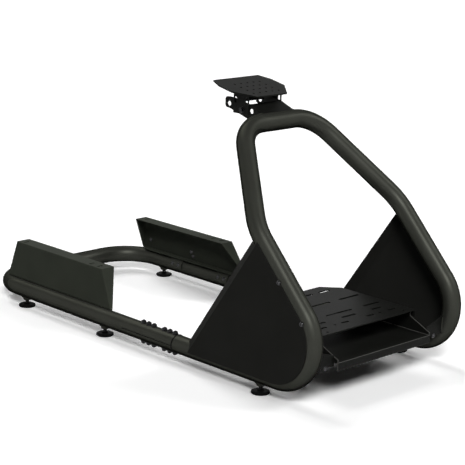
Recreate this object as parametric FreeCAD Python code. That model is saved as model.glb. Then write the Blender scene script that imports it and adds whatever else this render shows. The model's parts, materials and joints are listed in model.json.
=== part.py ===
import FreeCAD, Part
import math
import os
from FreeCAD import Vector

# Sim racing cockpit: an open tube frame for a wheel, pedals and a seat.
# Millimetres. +Z is up, the back is +Y, and the driver's left is +X.
# The origin is on the floor, at the middle of the frame's length and width.

# Tube frame
OVERALL_LENGTH = 1380.0
TUBE_SPACING = 552.0
TUBE_D = 50.8
TUBE_WALL = 2.5
TUBE_CLEARANCE_UNDER = 26.5
REAR_BEND_R = 124.0
FRONT_BEND_R = 114.0
HOOP_ANGLE = 46.4
KNEE_HEIGHT = 431.0
KNEE_BEND_R = 170.0
HOOP_TOP_HEIGHT = 648.0
HOOP_TOP_CORNER_HALF = 132.0
HOOP_TOP_BEND_R = 111.0
SEAM_BELOW_KNEE = 60.0

# Telescopic joint between the rear tube and the side tubes
REAR_TUBE_LENGTH = 837.0
JOINT_GAP = 1.0
JOINT_CLEARANCE = 0.3
CONNECTOR_IN_FRONT = 90.0
CONNECTOR_IN_REAR = 298.0
CONNECTOR_WALL = 3.0
CONNECTOR_SLOT_WIDTH = 9.0
CONNECTOR_END_STRIP = 9.0
CLAMP_SLIT_LENGTH = 209.0
CLAMP_SLIT_WIDTH = 3.0
CLAMP_BOLT_HOLE_D = 8.5
CLAMP_BOLT_PITCH = 21.8
CLAMP_BOLTS_IN_GROUP = 3
CLAMP_GROUP_STARTS = (12.5, 99.0)

# Levelling feet
FOOT_D = 50.0
FOOT_PAD_HEIGHT = 8.0
FOOT_PAD_SOLE = 2.0
FOOT_PAD_SHOULDER = 4.0
FOOT_STEM_D = 10.0
FOOT_STEM_CLEARANCE = 0.1
FOOT_STEM_INSIDE = 8.0
FOOT_COLLAR_D = 18.0
FOOT_COLLAR_HEIGHT = 4.0
BOSS_TOP_D = 34.0
BOSS_BOTTOM_D = 22.0
BOSS_HEIGHT = 6.0
REAR_FOOT_FROM_REAR = 163.0
MIDDLE_FOOT_FROM_REAR = 528.0
FRONT_FOOT_FROM_FRONT = 176.0

# Side panels
SHEET = 3.0
PANEL_SHEET = 2.5
PANEL_LAP = 2.0
PANEL_REAR_FROM_JOINT = 66.0
PANEL_TOP_HEIGHT = 403.0
PANEL_FLANGE_BACK = 24.0
PANEL_FLANGE_INWARD = 17.0
PANEL_FLANGE_GAP = 0.3

# Seat brackets and the saddles that hold them
BRACKET_HEIGHT = 106.0
BRACKET_REAR_FROM_REAR = 90.5
BRACKET_TOP_LENGTH = 400.0
BRACKET_REAR_SPREAD = 23.0
BRACKET_FRONT_SPREAD = 60.0
BRACKET_INSET = 1.0
BRACKET_LEAN = 15.5
BRACKET_TOP_FLANGE = 46.0
BRACKET_BOTTOM_FLANGE = 22.0
BRACKET_END_TIP = 7.0
BRACKET_FOLD_R = 3.0
SEAT_SLOT_LENGTH = 20.0
SEAT_SLOT_WIDTH = 8.5
SEAT_SLOT_FROM_EDGE = 17.5
SEAT_SLOT_FROM_REAR = 25.5
SEAT_SLOTS_FROM_FRONT = (65.0, 29.0)
SADDLE_WALL = 4.0
SADDLE_LENGTH = 54.0
SADDLE_SPREAD = 100.0
SADDLE_GAP = 0.3
SADDLE_PLACES = (0.39, 0.913)

# Pedal plate and the tray under it
PEDAL_TOP_HEIGHT = 167.0
PEDAL_HALF_WIDTH = 187.0
PEDAL_FRONT_FROM_FRONT = 53.0
PEDAL_LENGTH = 313.0
PEDAL_CORNER = 45.0
PEDAL_FLANGE = 20.0
PEDAL_SLOT_WIDTH = 9.0
PEDAL_ROWS_FROM_FRONT = (43.0, 75.0, 110.0, 192.0, 274.0)
PEDAL_CENTRE_HALF_SLOTS = (0.0, 27.0, 51.0, 55.0, 73.0)
PEDAL_SIDE_SLOT_STARTS = (121.0, 91.0, 98.0, 91.0, 98.0)
PEDAL_SIDE_SLOT_LENGTHS = (30.0, 38.0, 66.0, 80.0, 45.0)
TRAY_FLOOR_HEIGHT = 108.5
TRAY_OVERHANG = 56.0
TRAY_LIP = 22.0
TRAY_CHEEK_FRONT = 8.0
TRAY_CHEEK_STEP = 16.5
TRAY_CHEEK_BACK = 12.5
EAR_FRONT_SETBACK = 13.0
EAR_INNER_HEIGHT = 28.0
EAR_OUTER_HEIGHT = 57.0
EAR_BELOW_FLOOR = 11.0
REAR_EAR_FROM_BACK = 14.0
REAR_EAR_DROP = 44.0

# Wheel deck, its ears and the arm that carries it
DECK_TILT = 11.4
DECK_THICKNESS = 4.0
DECK_LENGTH = 146.0
DECK_REAR_HALF = 86.0
DECK_WIDE_HALF = 101.5
DECK_FRONT_HALF = 57.0
DECK_REAR_CHAMFER = 39.0
DECK_FRONT_CHAMFER = 55.0
DECK_ABOVE_PIVOT = 51.5
DECK_BEHIND_PIVOT = 104.5
DECK_RIB_HALF = 52.0
DECK_RIB_BEHIND = 34.0
DECK_RIB_ABOVE_PIVOT = 15.0
DECK_HOLE_D = 6.5
DECK_HOLE_COLUMNS = (-48.0, -24.0, 0.0, 24.0, 48.0)
DECK_HOLE_ROWS = (25.0, 50.0, 75.0, 100.0)
PIVOT_BEHIND_BAR = 74.0
PIVOT_ABOVE_BAR = 26.0
PIVOT_HOLE_D = 8.5
EAR_REACH_REAR = 34.0
EAR_REACH_FRONT = 24.0
EAR_BELOW_PIVOT = 12.0
EAR_SLOT_LENGTH = 17.5
EAR_SLOT_WIDTH = 9.0
EAR_SLOTS_BEHIND = (-16.0, 26.0)
EAR_SLOT_ABOVE = 25.0
DECK_EAR_GAP = 0.3
ARM_HALF_WIDTH = 60.6
ARM_TAB_REAR = 69.0
ARM_TAB_FLAT_END = 37.5
ARM_TAB_TOP = 29.0
ARM_TAB_BOTTOM = -2.0
ARM_TAB_CORNER_R = 9.0
ARM_TAB_HOLE_D = 14.0
ARM_TAB_HOLE_BEHIND = 53.5
ARM_TAB_HOLE_ABOVE = 10.0
ARM_SHOULDER_AHEAD = 25.0
ARM_SHOULDER_ABOVE = 18.0
ARM_FRONT_HOLE_AHEAD = 33.0
ARM_FRONT_HOLE_D = 14.0
ARM_DEPTH_AT_PIVOT = 17.0

# Places worked out from the sizes above
TUBE_R = TUBE_D / 2
BORE_R = TUBE_R - TUBE_WALL
HALF_SPACING = TUBE_SPACING / 2
AXIS_Z = TUBE_CLEARANCE_UNDER + TUBE_R
REAR_AXIS_Y = OVERALL_LENGTH / 2 - TUBE_R
FRONT_AXIS_Y = -OVERALL_LENGTH / 2 + TUBE_R
JOINT_Y = REAR_AXIS_Y - REAR_TUBE_LENGTH
SIDE_TUBE_END_Y = JOINT_Y - JOINT_GAP
ALPHA = math.radians(HOOP_ANGLE)
BEND_Y = FRONT_AXIS_Y + FRONT_BEND_R
BEND_Z = AXIS_Z + FRONT_BEND_R
CORNER_Y = BEND_Y - FRONT_BEND_R / math.tan(ALPHA / 2)
KNEE_Y = CORNER_Y + (KNEE_HEIGHT - AXIS_Z) / math.tan(ALPHA)
BAR_Y = CORNER_Y + (HOOP_TOP_HEIGHT - AXIS_Z) / math.tan(ALPHA)
BAR_Z = HOOP_TOP_HEIGHT
PANEL_X = HALF_SPACING + TUBE_R
BRACKET_OUTER_HALF = HALF_SPACING - BRACKET_INSET
PIVOT_Y = BAR_Y + PIVOT_BEHIND_BAR
PIVOT_Z = BAR_Z + PIVOT_ABOVE_BAR
BRACKET_BASE_Z = AXIS_Z + TUBE_R + SADDLE_GAP
BRACKET_REAR_Y = REAR_AXIS_Y - BRACKET_REAR_FROM_REAR
BRACKET_FRONT_Y = BRACKET_REAR_Y - BRACKET_TOP_LENGTH
FAR = 2000.0

os.makedirs("parts", exist_ok=True)


def write(name, shape):
    """Saves one solid, or a set of solids, as the node of that name."""
    shape.exportStep("parts/" + name + ".step")


def mirrored(shape):
    """The same piece on the driver's right."""
    return shape.mirror(Vector(0, 0, 0), Vector(1, 0, 0))


def write_pair(name, left):
    """Saves a piece of the driver's left and its mirror image."""
    write(name + "_left", left)
    write(name + "_right", mirrored(left))


def bent_bar(points, bend_radii, radius):
    """A solid round bar: straight runs, joined by a tangent bend at each inner point."""
    pieces = []
    start = points[0]
    for index, bend_r in enumerate(bend_radii):
        corner = points[index + 1]
        back = (points[index] - corner).normalize()
        ahead = (points[index + 2] - corner).normalize()
        half = back.getAngle(ahead) / 2
        first = corner + back * (bend_r / math.tan(half))
        last = corner + ahead * (bend_r / math.tan(half))
        centre = corner + (back + ahead).normalize() * (bend_r / math.sin(half))
        axis = (first - centre).cross(last - centre)
        section = Part.Face(Part.Wire(Part.Circle(first, back, radius).toShape()))
        pieces.append(rod(start, first, radius))
        pieces.append(section.revolve(centre, axis, 180 - math.degrees(2 * half)))
        start = last
    pieces.append(rod(start, points[-1], radius))
    return pieces[0].fuse(pieces[1:])


def rod(start, end, radius):
    """A round rod from one point to another."""
    line = end - start
    return Part.makeCylinder(radius, line.Length, start, line)


def prism(corners, sweep):
    """A flat outline, given by its corners, extruded along a vector."""
    return Part.Face(Part.makePolygon(corners + corners[:1])).extrude(sweep)


def plate_yz(corners, x_low, x_high):
    """A plate that lies in the side plane, between two values of X."""
    return prism([Vector(x_low, y, z) for y, z in corners], Vector(x_high - x_low, 0, 0))


def plate_xz(corners, y_low, y_high):
    """A plate that faces the front, between two values of Y."""
    return prism([Vector(x, y_low, z) for x, z in corners], Vector(0, y_high - y_low, 0))


def plate_xy(corners, z_low, z_high):
    """A level plate between two values of Z."""
    return prism([Vector(x, y, z_low) for x, y in corners], Vector(0, 0, z_high - z_low))


def slot(centre, along, across, length, width):
    """A cutter for a round-ended slot, right through the piece."""
    reach = along * ((length - width) / 2)
    side = across * (width / 2)
    tip = along * (width / 2)
    through = along.cross(across) * FAR
    a, b = centre - reach + side, centre + reach + side
    c, d = centre + reach - side, centre - reach - side
    edges = [
        Part.LineSegment(a, b).toShape(),
        Part.Arc(b, centre + reach + tip, c).toShape(),
        Part.LineSegment(c, d).toShape(),
        Part.Arc(d, centre - reach - tip, a).toShape(),
    ]
    face = Part.Face(Part.Wire(edges))
    face.translate(through * -0.5)
    return face.extrude(through)


def hole(centre, along, diameter):
    """A cutter for a round hole, right through the piece."""
    return rod(centre - along * FAR, centre + along * FAR, diameter / 2)


def opposite(point):
    """The mirror image of a point."""
    return Vector(-point.x, point.y, point.z)


X_AXIS = Vector(1, 0, 0)
Y_AXIS = Vector(0, 1, 0)
Z_AXIS = Vector(0, 0, 1)

# Centre lines of the tubes
SIDE_START = Vector(HALF_SPACING, SIDE_TUBE_END_Y, AXIS_Z)
FRONT_CORNER = Vector(HALF_SPACING, CORNER_Y, AXIS_Z)
KNEE = Vector(HALF_SPACING, KNEE_Y, KNEE_HEIGHT)
TOP_CORNER = Vector(HOOP_TOP_CORNER_HALF, BAR_Y, BAR_Z)
SEAM = KNEE + (FRONT_CORNER - KNEE).normalize() * SEAM_BELOW_KNEE
SIDE_POINTS = [SIDE_START, FRONT_CORNER, SEAM]
HOOP_POINTS = [SEAM, KNEE, TOP_CORNER, opposite(TOP_CORNER), opposite(KNEE), opposite(SEAM)]
HOOP_RADII = [KNEE_BEND_R, HOOP_TOP_BEND_R, HOOP_TOP_BEND_R, KNEE_BEND_R]


def foot_boss(y):
    """The welded boss under a tube that a foot's stem screws into."""
    bottom = AXIS_Z - TUBE_R - BOSS_HEIGHT
    base = Vector(HALF_SPACING, y, bottom)
    return Part.makeCone(BOSS_BOTTOM_D / 2, BOSS_TOP_D / 2, BOSS_HEIGHT + TUBE_R / 2, base)


def foot_hole(y):
    """The bore for a foot's stem, through the boss and the lower wall."""
    start = Vector(HALF_SPACING, y, 0)
    return rod(start, Vector(HALF_SPACING, y, AXIS_Z), FOOT_STEM_D / 2 + FOOT_STEM_CLEARANCE)


def make_side_tube():
    """The lower rail, the front bend and the leg of the hoop, as one tube."""
    foot_y = FRONT_AXIS_Y + FRONT_FOOT_FROM_FRONT
    outside = bent_bar(SIDE_POINTS, [FRONT_BEND_R], TUBE_R).fuse(foot_boss(foot_y))
    inside = bent_bar(SIDE_POINTS, [FRONT_BEND_R], BORE_R)
    return outside.cut([inside, foot_hole(foot_y)])


def clamp_bolt_places():
    """Distances of the clamp bolts behind the joint."""
    steps = range(CLAMP_BOLTS_IN_GROUP)
    return [start + step * CLAMP_BOLT_PITCH for start in CLAMP_GROUP_STARTS for step in steps]


def make_rear_tube():
    """The U that closes the frame at the back, slit at its ends to clamp the connectors."""
    near_end = Vector(HALF_SPACING, JOINT_Y, AXIS_Z)
    corner = Vector(HALF_SPACING, REAR_AXIS_Y, AXIS_Z)
    points = [near_end, corner, opposite(corner), opposite(near_end)]
    radii = [REAR_BEND_R, REAR_BEND_R]
    outside = bent_bar(points, radii, TUBE_R)
    cutters = [bent_bar(points, radii, BORE_R)]
    for from_rear in (REAR_FOOT_FROM_REAR, MIDDLE_FOOT_FROM_REAR):
        boss = foot_boss(REAR_AXIS_Y - from_rear)
        bore = foot_hole(REAR_AXIS_Y - from_rear)
        outside = outside.fuse([boss, mirrored(boss)])
        cutters += [bore, mirrored(bore)]
    slit_half = CLAMP_SLIT_WIDTH / 2
    slit = plate_yz(
        [
            (SIDE_TUBE_END_Y, AXIS_Z - slit_half),
            (JOINT_Y + CLAMP_SLIT_LENGTH, AXIS_Z - slit_half),
            (JOINT_Y + CLAMP_SLIT_LENGTH, AXIS_Z + slit_half),
            (SIDE_TUBE_END_Y, AXIS_Z + slit_half),
        ],
        HALF_SPACING - TUBE_D,
        HALF_SPACING + TUBE_D,
    )
    cutters += [slit, mirrored(slit)]
    for place in clamp_bolt_places():
        bolt = hole(Vector(HALF_SPACING, JOINT_Y + place, AXIS_Z), Z_AXIS, CLAMP_BOLT_HOLE_D)
        cutters += [bolt, mirrored(bolt)]
    return outside.cut(cutters)


def make_connector():
    """The inner tube of the telescopic joint, slotted so that it slides past the bolts."""
    radius = BORE_R - JOINT_CLEARANCE
    front = Vector(HALF_SPACING, SIDE_TUBE_END_Y - CONNECTOR_IN_FRONT, AXIS_Z)
    back = Vector(HALF_SPACING, JOINT_Y + CONNECTOR_IN_REAR, AXIS_Z)
    body = rod(front, back, radius).cut(rod(front, back, radius - CONNECTOR_WALL))
    slot_start = JOINT_Y + CLAMP_GROUP_STARTS[0] - CLAMP_BOLT_PITCH / 2
    slot_end = JOINT_Y + CONNECTOR_IN_REAR - CONNECTOR_END_STRIP
    middle = Vector(HALF_SPACING, (slot_start + slot_end) / 2, AXIS_Z)
    return body.cut(slot(middle, Y_AXIS, X_AXIS, slot_end - slot_start, CONNECTOR_SLOT_WIDTH))


def make_foot(y):
    """A levelling foot: a round pad, a collar and a threaded stem, turned about its axis."""
    top = AXIS_Z - BORE_R + FOOT_STEM_INSIDE
    rim = FOOT_D / 2
    collar = FOOT_COLLAR_D / 2
    stem = FOOT_STEM_D / 2
    profile = [
        (0, 0),
        (rim - FOOT_PAD_SOLE, 0),
        (rim, FOOT_PAD_SOLE),
        (rim, FOOT_PAD_HEIGHT - FOOT_PAD_SHOULDER / 2),
        (rim - FOOT_PAD_SHOULDER, FOOT_PAD_HEIGHT),
        (collar, FOOT_PAD_HEIGHT),
        (collar, FOOT_PAD_HEIGHT + FOOT_COLLAR_HEIGHT),
        (stem, FOOT_PAD_HEIGHT + FOOT_COLLAR_HEIGHT),
        (stem, top),
        (0, top),
    ]
    corners = [Vector(r, 0, z) for r, z in profile]
    face = Part.Face(Part.makePolygon(corners + corners[:1]))
    foot = face.revolve(Vector(0, 0, 0), Z_AXIS, 360)
    foot.translate(Vector(HALF_SPACING, y, 0))
    return foot


def make_side_panel(tubes):
    """The sheet that closes the side, with a round front edge and a folded rear edge."""
    leg = Vector(0, math.cos(ALPHA), math.sin(ALPHA))
    ahead = Vector(0, -math.sin(ALPHA), math.cos(ALPHA))
    bend = Vector(PANEL_X, BEND_Y, BEND_Z)
    edge_r = FRONT_BEND_R + PANEL_LAP
    rear = Vector(PANEL_X, SIDE_TUBE_END_Y - PANEL_REAR_FROM_JOINT, AXIS_Z - PANEL_LAP)
    low = bend - Z_AXIS * edge_r
    crown = bend - Y_AXIS * edge_r
    high = bend + ahead * edge_r
    tip = high + leg * ((PANEL_TOP_HEIGHT - high.z) / leg.z)
    edges = [
        Part.LineSegment(rear, low).toShape(),
        Part.Arc(low, crown, high).toShape(),
        Part.LineSegment(high, tip).toShape(),
        Part.LineSegment(tip, rear).toShape(),
    ]
    sheet = Part.Face(Part.Wire(edges)).extrude(X_AXIS * PANEL_SHEET)
    along = (tip - rear).normalize()
    back = X_AXIS.cross(along)
    if back.y < 0:
        back = back * -1
    fold = back * PANEL_FLANGE_BACK - X_AXIS * PANEL_FLANGE_INWARD
    thick = fold.cross(along).normalize() * PANEL_SHEET
    if thick.x < 0:
        thick = thick * -1
    outer = rear + X_AXIS * PANEL_SHEET
    mitre = back * (PANEL_SHEET * math.tan(back.getAngle(fold) / 2))
    flange = prism([rear, outer, outer + mitre, rear + fold + thick, rear + fold], tip - rear).cut(tubes)
    panel = sheet.fuse(flange).removeSplitter()
    return max(panel.Solids, key=lambda solid: solid.Volume)


def bracket_block(inset, open_inside):
    """The outline of a seat bracket, drawn in by the inset and open towards the seat."""
    low = BRACKET_BASE_Z + inset
    high = BRACKET_BASE_Z + BRACKET_HEIGHT - inset
    lean = BRACKET_LEAN / BRACKET_HEIGHT
    outer_low = BRACKET_OUTER_HALF - inset - inset * lean
    outer_high = BRACKET_OUTER_HALF - BRACKET_LEAN - inset + inset * lean
    inner_low = BRACKET_OUTER_HALF - BRACKET_END_TIP - open_inside
    inner_high = BRACKET_OUTER_HALF - BRACKET_LEAN - BRACKET_TOP_FLANGE - open_inside
    section = [(inner_low, low), (outer_low, low), (outer_high, high), (inner_high, high)]
    rear_high = BRACKET_REAR_Y - inset
    rear_low = rear_high + BRACKET_REAR_SPREAD
    front_high = BRACKET_FRONT_Y + inset
    front_low = front_high - BRACKET_FRONT_SPREAD
    side = [(front_low, low), (rear_low, low), (rear_high, high), (front_high, high)]
    along = plate_xz(section, front_low - FAR, rear_low + FAR)
    return along.common(plate_yz(side, 0, FAR))


def seat_slot_places():
    """Places of the seat slots along the bracket, from its two ends."""
    return [BRACKET_REAR_Y - SEAT_SLOT_FROM_REAR] + [BRACKET_FRONT_Y + v for v in SEAT_SLOTS_FROM_FRONT]


def make_seat_bracket():
    """A folded sheet bracket: an outer wall and flanges on all four sides, with seat slots."""
    block = bracket_block(0, 0)
    sides = [face for face in block.Faces if abs(face.normalAt(0, 0).x) > abs(face.normalAt(0, 0).z)]
    wall = max(sides, key=lambda face: face.CenterOfMass.x)
    bracket = block.makeFillet(BRACKET_FOLD_R, wall.Edges).cut(bracket_block(SHEET, FAR))
    front = BRACKET_FRONT_Y - BRACKET_FRONT_SPREAD + BRACKET_FOLD_R
    rear = BRACKET_REAR_Y + BRACKET_REAR_SPREAD - BRACKET_FOLD_R
    inner = BRACKET_OUTER_HALF - BRACKET_BOTTOM_FLANGE
    outer = BRACKET_OUTER_HALF - BRACKET_FOLD_R
    flange = [
        (inner, front + BRACKET_BOTTOM_FLANGE),
        (outer, front),
        (outer, rear),
        (inner, rear - BRACKET_BOTTOM_FLANGE),
    ]
    bracket = bracket.fuse(plate_xy(flange, BRACKET_BASE_Z, BRACKET_BASE_Z + SHEET)).removeSplitter()
    slot_x = BRACKET_OUTER_HALF - BRACKET_LEAN - SEAT_SLOT_FROM_EDGE
    cutters = []
    for y in seat_slot_places():
        centre = Vector(slot_x, y, BRACKET_BASE_Z + BRACKET_HEIGHT)
        cut = slot(centre, X_AXIS, Y_AXIS, SEAT_SLOT_LENGTH, SEAT_SLOT_WIDTH)
        keep = plate_xy([(0, -FAR), (FAR, -FAR), (FAR, FAR), (0, FAR)], centre.z - 2 * SHEET, FAR)
        cutters.append(cut.common(keep))
    return bracket.cut(cutters)


def make_saddle(place):
    """A curved strap, from under the bracket's lower flange down the inner side of the tube."""
    y = BRACKET_REAR_Y - place * BRACKET_TOP_LENGTH
    inner_r = TUBE_R + SADDLE_GAP
    outer_r = inner_r + SADDLE_WALL
    low = Vector(HALF_SPACING, y - SADDLE_LENGTH / 2, AXIS_Z)
    high = Vector(HALF_SPACING, y + SADDLE_LENGTH / 2, AXIS_Z)
    ring = rod(low, high, outer_r).cut(rod(low, high, inner_r))
    spread = math.radians(SADDLE_SPREAD)
    reach = 2 * outer_r
    corners = [
        (HALF_SPACING, AXIS_Z),
        (HALF_SPACING - reach * math.sin(spread), AXIS_Z + reach * math.cos(spread)),
        (HALF_SPACING - reach, BRACKET_BASE_Z),
        (HALF_SPACING, BRACKET_BASE_Z),
    ]
    return ring.common(plate_xz(corners, low.y, high.y))


PEDAL_FRONT_Y = FRONT_AXIS_Y + PEDAL_FRONT_FROM_FRONT
PEDAL_REAR_Y = PEDAL_FRONT_Y + PEDAL_LENGTH
TRAY_HALF = PEDAL_HALF_WIDTH - SHEET
TRAY_FRONT_Y = PEDAL_FRONT_Y - TRAY_OVERHANG
TRAY_REAR_Y = PEDAL_REAR_Y - PEDAL_CORNER


def make_pedal_plate():
    """The level plate for the pedals: side flanges, cut rear corners and rows of slots."""
    half = PEDAL_HALF_WIDTH
    outline = [
        (-half, PEDAL_FRONT_Y),
        (half, PEDAL_FRONT_Y),
        (half, PEDAL_REAR_Y - PEDAL_CORNER),
        (half - PEDAL_CORNER, PEDAL_REAR_Y),
        (PEDAL_CORNER - half, PEDAL_REAR_Y),
        (-half, PEDAL_REAR_Y - PEDAL_CORNER),
    ]
    plate = plate_xy(outline, PEDAL_TOP_HEIGHT - SHEET, PEDAL_TOP_HEIGHT)
    side = [
        (half - SHEET, PEDAL_FRONT_Y),
        (half, PEDAL_FRONT_Y),
        (half, PEDAL_REAR_Y - PEDAL_CORNER),
        (half - SHEET, PEDAL_REAR_Y - PEDAL_CORNER),
    ]
    flange = plate_xy(side, PEDAL_TOP_HEIGHT - PEDAL_FLANGE, PEDAL_TOP_HEIGHT)
    plate = plate.fuse([flange, mirrored(flange)]).removeSplitter()
    cutters = []
    rows = zip(
        PEDAL_ROWS_FROM_FRONT,
        PEDAL_CENTRE_HALF_SLOTS,
        PEDAL_SIDE_SLOT_STARTS,
        PEDAL_SIDE_SLOT_LENGTHS,
    )
    for from_front, centre_half, start, length in rows:
        y = PEDAL_FRONT_Y + from_front
        side_slot = slot(
            Vector(start + length / 2, y, PEDAL_TOP_HEIGHT), X_AXIS, Y_AXIS, length, PEDAL_SLOT_WIDTH
        )
        cutters += [side_slot, mirrored(side_slot)]
        if centre_half:
            centre = Vector(0, y, PEDAL_TOP_HEIGHT)
            cutters.append(slot(centre, X_AXIS, Y_AXIS, 2 * centre_half, PEDAL_SLOT_WIDTH))
    return plate.cut(cutters)


def make_pedal_tray():
    """The open tray under the plate: a floor, a front lip and two cheeks with sloping tops."""
    top = TRAY_FLOOR_HEIGHT
    under_plate = PEDAL_TOP_HEIGHT - SHEET
    floor = [
        (-TRAY_HALF, TRAY_FRONT_Y),
        (TRAY_HALF, TRAY_FRONT_Y),
        (TRAY_HALF, TRAY_REAR_Y),
        (-TRAY_HALF, TRAY_REAR_Y),
    ]
    tray = plate_xy(floor, top - SHEET, top)
    lip = [(-TRAY_HALF, top - TRAY_LIP), (TRAY_HALF, top - TRAY_LIP), (TRAY_HALF, top), (-TRAY_HALF, top)]
    cheek_profile = [
        (TRAY_FRONT_Y, top - SHEET),
        (TRAY_REAR_Y, top - SHEET),
        (TRAY_REAR_Y, under_plate),
        (PEDAL_FRONT_Y + TRAY_CHEEK_BACK, under_plate),
        (PEDAL_FRONT_Y + TRAY_CHEEK_BACK, under_plate - TRAY_CHEEK_STEP),
        (TRAY_FRONT_Y, top + TRAY_CHEEK_FRONT),
    ]
    cheek = plate_yz(cheek_profile, TRAY_HALF - SHEET, TRAY_HALF)
    front = plate_xz(lip, TRAY_FRONT_Y, TRAY_FRONT_Y + SHEET)
    return tray.fuse([front, cheek, mirrored(cheek)]).removeSplitter()


def make_front_ear(side_bar):
    """The gusset between a cheek of the tray and the front bend."""
    y = TRAY_FRONT_Y + EAR_FRONT_SETBACK
    low = TRAY_FLOOR_HEIGHT - EAR_BELOW_FLOOR
    corners = [
        (TRAY_HALF, low),
        (HALF_SPACING, low),
        (HALF_SPACING, low + EAR_OUTER_HEIGHT),
        (TRAY_HALF, low + EAR_INNER_HEIGHT),
    ]
    ear = plate_xz(corners, y, y + SHEET).cut(side_bar)
    return max(ear.Solids, key=lambda solid: solid.Volume)


def make_rear_ear(side_bar):
    """The gusset between a cheek of the tray and the lower rail."""
    y = TRAY_REAR_Y - REAR_EAR_FROM_BACK
    high = TRAY_FLOOR_HEIGHT + EAR_INNER_HEIGHT
    corners = [
        (TRAY_HALF, TRAY_FLOOR_HEIGHT - SHEET),
        (HALF_SPACING, AXIS_Z),
        (HALF_SPACING, AXIS_Z + REAR_EAR_DROP),
        (TRAY_HALF, high),
    ]
    ear = plate_xz(corners, y - SHEET, y).cut(side_bar)
    return max(ear.Solids, key=lambda solid: solid.Volume)


def arm_side_plate(inner):
    """A side plate of the arm: from the top bar back to a tab with round corners."""
    tab_rear = PIVOT_Y + ARM_TAB_REAR
    profile = [
        (BAR_Y, BAR_Z - TUBE_R / 2),
        (BAR_Y, BAR_Z + TUBE_R),
        (PIVOT_Y - ARM_SHOULDER_AHEAD, PIVOT_Z + ARM_SHOULDER_ABOVE),
        (PIVOT_Y + ARM_TAB_FLAT_END, PIVOT_Z + ARM_TAB_TOP),
        (tab_rear, PIVOT_Z + ARM_TAB_TOP),
        (tab_rear, PIVOT_Z + ARM_TAB_BOTTOM),
        (PIVOT_Y + ARM_TAB_HOLE_BEHIND, PIVOT_Z + ARM_TAB_BOTTOM),
        (PIVOT_Y, PIVOT_Z - ARM_DEPTH_AT_PIVOT),
    ]
    plate = plate_yz(profile, inner, ARM_HALF_WIDTH)
    corners = []
    for edge in plate.Edges:
        ends = edge.BoundBox
        if ends.YMin > tab_rear - ARM_TAB_CORNER_R and ends.ZLength < ARM_TAB_CORNER_R:
            corners.append(edge)
    return plate.makeFillet(ARM_TAB_CORNER_R, corners)


def make_wheel_arm(hoop_bar):
    """The channel behind the top bar: two side plates with round tabs, and a top web between them."""
    inner = ARM_HALF_WIDTH - SHEET
    plate = arm_side_plate(inner)
    upper_edge = [
        (BAR_Y, BAR_Z + TUBE_R),
        (PIVOT_Y - ARM_SHOULDER_AHEAD, PIVOT_Z + ARM_SHOULDER_ABOVE),
    ]
    web_profile = upper_edge + [(y, z - SHEET) for y, z in reversed(upper_edge)]
    web = plate_yz(web_profile, -inner, inner)
    arm = plate.fuse([mirrored(plate), web]).removeSplitter()
    tab_hole = Vector(0, PIVOT_Y + ARM_TAB_HOLE_BEHIND, PIVOT_Z + ARM_TAB_HOLE_ABOVE)
    holes = [
        hole(tab_hole, X_AXIS, ARM_TAB_HOLE_D),
        hole(Vector(0, PIVOT_Y, PIVOT_Z), X_AXIS, PIVOT_HOLE_D),
        hole(Vector(0, PIVOT_Y - ARM_FRONT_HOLE_AHEAD, PIVOT_Z), X_AXIS, ARM_FRONT_HOLE_D),
    ]
    arm = arm.cut([hoop_bar] + holes)
    return max(arm.Solids, key=lambda solid: solid.Volume)


def tilted(shape):
    """Turns a piece drawn level over the pivot to the deck's rest angle."""
    shape.rotate(Vector(0, PIVOT_Y, PIVOT_Z), X_AXIS, DECK_TILT)
    return shape


def deck_underside(behind):
    """Height of the deck's underside at rest, at a distance behind the pivot."""
    tilt = math.radians(DECK_TILT)
    return PIVOT_Z + (DECK_ABOVE_PIVOT - DECK_THICKNESS) / math.cos(tilt) + behind * math.tan(tilt)


def make_wheel_deck():
    """The eight-sided deck plate, drilled for the wheel base, with a rib under it between the ears."""
    rear = PIVOT_Y + DECK_BEHIND_PIVOT
    front = rear - DECK_LENGTH
    half_outline = [
        (DECK_FRONT_HALF, front),
        (DECK_WIDE_HALF, front + DECK_FRONT_CHAMFER),
        (DECK_WIDE_HALF, rear - DECK_REAR_CHAMFER),
        (DECK_REAR_HALF, rear),
    ]
    outline = half_outline + [(-x, y) for x, y in reversed(half_outline)]
    low = PIVOT_Z + DECK_ABOVE_PIVOT - DECK_THICKNESS
    deck = plate_xy(outline, low, low + DECK_THICKNESS)
    cutters = []
    for row in DECK_HOLE_ROWS:
        for column in DECK_HOLE_COLUMNS:
            cutters.append(hole(Vector(column, front + row, low), Z_AXIS, DECK_HOLE_D))
    rib_rear = DECK_RIB_BEHIND
    rib_front = DECK_RIB_BEHIND - SHEET
    rib = [
        (PIVOT_Y + rib_front, PIVOT_Z + DECK_RIB_ABOVE_PIVOT),
        (PIVOT_Y + rib_rear, PIVOT_Z + DECK_RIB_ABOVE_PIVOT),
        (PIVOT_Y + rib_rear, deck_underside(rib_rear)),
        (PIVOT_Y + rib_front, deck_underside(rib_front)),
    ]
    return tilted(deck.cut(cutters)).fuse(plate_yz(rib, -DECK_RIB_HALF, DECK_RIB_HALF)).removeSplitter()


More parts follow.
